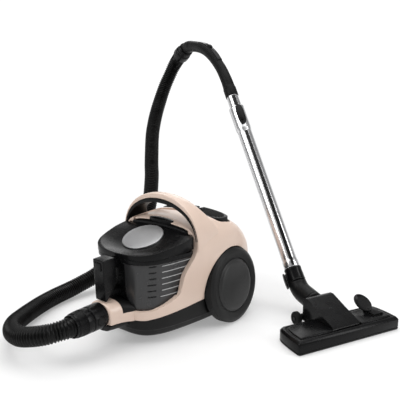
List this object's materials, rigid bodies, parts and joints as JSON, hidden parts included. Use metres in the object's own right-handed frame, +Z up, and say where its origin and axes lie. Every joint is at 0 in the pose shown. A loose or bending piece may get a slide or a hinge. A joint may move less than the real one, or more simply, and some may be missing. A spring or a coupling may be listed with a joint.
{
  "type": "canister vacuum cleaner",
  "caption": "Bagless canister vacuum cleaner: wheeled body with lift-out cyclone dust cup, corrugated hose, curved grip, telescopic tube and floor head with pedal",
  "frame": {"origin": "on the floor, under the middle of the footprint of everything but the hose", "axes": "+Z up; -Y the canister's front, where the hose plugs in; +X the canister's left side, where the wand and floor head stand"},
  "size_m": [0.8596, 0.8433, 0.6202],
  "materials": {
    "base_pan": "satin",
    "upper_shell": "gloss",
    "handle_liner": "satin",
    "filter_housing": "satin",
    "pre_motor_filter": "soft",
    "top_deck": "gloss",
    "latch_housing": "satin",
    "cup_release_button": "gloss",
    "rear_deck": "satin",
    "power_pedal": "satin",
    "rewind_pedal": "satin",
    "motor_housing": "satin",
    "motor_core": "wound copper",
    "fan_impeller": "brushed",
    "cord_reel": "satin",
    "carry_handle": "gloss",
    "cord_gland": "matt",
    "exhaust_grille": "satin",
    "hepa_filter": "soft",
    "wheel_left": "matt",
    "wheel_right": "matt",
    "hub_cap_left": "satin",
    "hub_cap_right": "satin",
    "axle_left": "brushed",
    "axle_right": "brushed",
    "caster_fork": "satin",
    "caster_wheel": "matt",
    "dust_cup": "smoked gloss",
    "cup_lid": "gloss",
    "badge_disc": "brushed",
    "cup_handle": "gloss",
    "lid_latch_button": "satin",
    "cup_base": "smoked gloss",
    "cyclone_cone": "satin",
    "mesh_filter": "brushed",
    "inlet_collar": "gloss",
    "hose_connector": "gloss",
    "hose_release_left": "satin",
    "hose_release_right": "satin",
    "hose_cuff": "satin",
    "hose": "matt",
    "grip": "satin",
    "grip_swivel": "gloss",
    "air_slider": "gloss",
    "inner_tube": "polished",
    "outer_tube": "polished",
    "track_strip": "satin",
    "lock_saddle": "satin",
    "lock_slider": "gloss",
    "head_cover": "gloss",
    "sole_plate": "satin",
    "brush_strip_front": "bristle",
    "brush_strip_rear": "bristle",
    "neck_wedge": "gloss",
    "neck_roller_left": "matt",
    "neck_roller_right": "matt",
    "elbow": "satin",
    "neck_cuff": "gloss",
    "wand_release_clip": "gloss",
    "floor_pedal": "gloss"
  },
  "bodies": {
    "canister": {"base_pan": "base_pan", "upper_shell": "upper_shell", "handle_liner": "handle_liner", "filter_housing": "filter_housing", "pre_motor_filter": "pre_motor_filter", "top_deck": "top_deck", "latch_housing": "latch_housing", "rear_deck": "rear_deck", "motor_housing": "motor_housing", "motor_core": "motor_core", "carry_handle": "carry_handle", "cord_gland": "cord_gland", "exhaust_grille": "exhaust_grille", "hepa_filter": "hepa_filter", "axle_left": "axle_left", "axle_right": "axle_right", "inlet_collar": "inlet_collar", "hose": "hose", "hose_cuff": "hose_cuff", "grip_swivel": "grip_swivel"},
    "release_button": {"cup_release_button": "cup_release_button"},
    "power_pedal_part": {"power_pedal": "power_pedal"},
    "rewind_pedal_part": {"rewind_pedal": "rewind_pedal"},
    "impeller": {"fan_impeller": "fan_impeller"},
    "reel": {"cord_reel": "cord_reel"},
    "wheel_l": {"wheel_left": "wheel_left", "hub_cap_left": "hub_cap_left"},
    "wheel_r": {"wheel_right": "wheel_right", "hub_cap_right": "hub_cap_right"},
    "caster": {"caster_fork": "caster_fork"},
    "caster_roller": {"caster_wheel": "caster_wheel"},
    "container": {"dust_cup": "dust_cup", "cup_base": "cup_base", "cup_handle": "cup_handle"},
    "container_lid": {"cup_lid": "cup_lid", "badge_disc": "badge_disc", "cyclone_cone": "cyclone_cone", "mesh_filter": "mesh_filter"},
    "lid_button": {"lid_latch_button": "lid_latch_button"},
    "connector": {"hose_connector": "hose_connector"},
    "release_l": {"hose_release_left": "hose_release_left"},
    "release_r": {"hose_release_right": "hose_release_right"},
    "handle": {"grip": "grip", "inner_tube": "inner_tube"},
    "air_control": {"air_slider": "air_slider"},
    "wand": {"outer_tube": "outer_tube", "track_strip": "track_strip", "lock_saddle": "lock_saddle", "neck_cuff": "neck_cuff", "elbow": "elbow"},
    "wand_lock": {"lock_slider": "lock_slider"},
    "clip": {"wand_release_clip": "wand_release_clip"},
    "neck": {"neck_wedge": "neck_wedge"},
    "roller_l": {"neck_roller_left": "neck_roller_left"},
    "roller_r": {"neck_roller_right": "neck_roller_right"},
    "head": {"head_cover": "head_cover", "sole_plate": "sole_plate"},
    "pedal": {"floor_pedal": "floor_pedal"},
    "brush_f": {"brush_strip_front": "brush_strip_front"},
    "brush_r": {"brush_strip_rear": "brush_strip_rear"}
  },
  "joints": [
    {"name": "cup_release_press", "type": "slide", "parent": "canister", "child": "release_button", "axis": [0, 0, -1], "range_m": [0, 0.003], "stiffness_N_per_m": 300, "springref_m": -0.003},
    {"name": "power_pedal_press", "type": "slide", "parent": "canister", "child": "power_pedal_part", "axis": [0, 0, -1], "range_m": [0, 0.003], "stiffness_N_per_m": 500, "springref_m": -0.004},
    {"name": "rewind_pedal_press", "type": "slide", "parent": "canister", "child": "rewind_pedal_part", "axis": [0, 0, -1], "range_m": [0, 0.003], "stiffness_N_per_m": 500, "springref_m": -0.004},
    {"name": "fan_spin", "type": "hinge", "parent": "canister", "child": "impeller", "pos_m": [-0.0648, -0.072, 0.104], "axis": [0, 1, 0], "continuous": true},
    {"name": "reel_spin", "type": "hinge", "parent": "canister", "child": "reel", "pos_m": [0.0232, -0.018, 0.096], "axis": [1, 0, 0], "continuous": true},
    {"name": "wheel_left_spin", "type": "hinge", "parent": "canister", "child": "wheel_l", "pos_m": [0.0832, -0.024, 0.08455], "axis": [0.9945, 0, 0.1045], "continuous": true},
    {"name": "wheel_right_spin", "type": "hinge", "parent": "canister", "child": "wheel_r", "pos_m": [-0.1528, -0.024, 0.08455], "axis": [0.9945, 0, -0.1045], "continuous": true},
    {"name": "caster_swivel", "type": "hinge", "parent": "canister", "child": "caster", "pos_m": [-0.0348, -0.19, 0.04], "axis": [0, 0, 1], "continuous": true},
    {"name": "caster_wheel_spin", "type": "hinge", "parent": "caster", "child": "caster_roller", "pos_m": [-0.0348, -0.182, 0.015], "axis": [1, 0, 0], "continuous": true},
    {"name": "container_lift", "type": "slide", "parent": "canister", "child": "container", "axis": [0, 0, 1], "range_m": [0, 0.2]},
    {"name": "lid_lift", "type": "slide", "parent": "container", "child": "container_lid", "axis": [0, 0, 1], "range_m": [0, 0.12]},
    {"name": "lid_latch_press", "type": "slide", "parent": "container", "child": "lid_button", "axis": [0, 1, 0], "range_m": [0, 0.003], "stiffness_N_per_m": 300, "springref_m": -0.002},
    {"name": "connector_swivel", "type": "hinge", "parent": "canister", "child": "connector", "pos_m": [-0.0348, -0.31, 0.077], "axis": [0, -1, 0], "continuous": true},
    {"name": "hose_release_left_press", "type": "slide", "parent": "connector", "child": "release_l", "axis": [-1, 0, 0], "range_m": [0, 0.0015], "stiffness_N_per_m": 400, "springref_m": -0.002},
    {"name": "hose_release_right_press", "type": "slide", "parent": "connector", "child": "release_r", "axis": [1, 0, 0], "range_m": [0, 0.0015], "stiffness_N_per_m": 400, "springref_m": -0.002},
    {"name": "grip_swivel_turn", "type": "hinge", "parent": "canister", "child": "handle", "pos_m": [-0.3508, 0.339, 0.5985], "axis": [-0.824, 0.3458, -0.4488], "range_deg": [-30, 3]},
    {"name": "air_slide", "type": "slide", "parent": "handle", "child": "air_control", "axis": [-0.8823, 0.3823, 0.2745], "range_m": [0, 0.012]},
    {"name": "wand_extend", "type": "slide", "parent": "handle", "child": "wand", "axis": [0.5513, -0.2353, -0.8004], "range_m": [0, 0.3]},
    {"name": "wand_lock_slide", "type": "slide", "parent": "wand", "child": "wand_lock", "axis": [-0.5513, 0.2353, 0.8004], "range_m": [0, 0.01], "stiffness_N_per_m": 300, "springref_m": -0.003},
    {"name": "wand_clip_press", "type": "slide", "parent": "wand", "child": "clip", "axis": [0.6207, 0.7568, 0.205], "range_m": [0, 0.0015], "stiffness_N_per_m": 400, "springref_m": -0.002},
    {"name": "neck_swivel", "type": "hinge", "parent": "wand", "child": "neck", "pos_m": [0.23292, 0.08992, 0.04324], "axis": [-0.9067, 0.3871, 0.1676], "range_deg": [-60, 60]},
    {"name": "roller_left_spin", "type": "hinge", "parent": "neck", "child": "roller_l", "pos_m": [0.25429, 0.13517, 0.0155], "axis": [0.3926, 0.9197, 0], "continuous": true},
    {"name": "roller_right_spin", "type": "hinge", "parent": "neck", "child": "roller_r", "pos_m": [0.21503, 0.0432, 0.0155], "axis": [0.3926, 0.9197, 0], "continuous": true},
    {"name": "head_tilt", "type": "hinge", "parent": "neck", "child": "head", "pos_m": [0.29352, 0.06406, 0.0205], "axis": [0.3926, 0.9197, 0], "range_deg": [-20, 6]},
    {"name": "floor_pedal_rock", "type": "hinge", "parent": "head", "child": "pedal", "pos_m": [0.34526, 0.14961, 0.0325], "axis": [0.3926, 0.9197, 0], "range_deg": [-8, 0]},
    {"name": "brush_front_raise", "type": "slide", "parent": "head", "child": "brush_f", "axis": [0, 0, 1], "range_m": [0, 0.004]},
    {"name": "brush_rear_raise", "type": "slide", "parent": "head", "child": "brush_r", "axis": [0, 0, 1], "range_m": [0, 0.004]}
  ],
  "couplings": [
    {"joint": "brush_front_raise", "follows": "floor_pedal_rock", "m_per_rad": -0.02862},
    {"joint": "brush_rear_raise", "follows": "floor_pedal_rock", "m_per_rad": -0.02862}
  ]
}
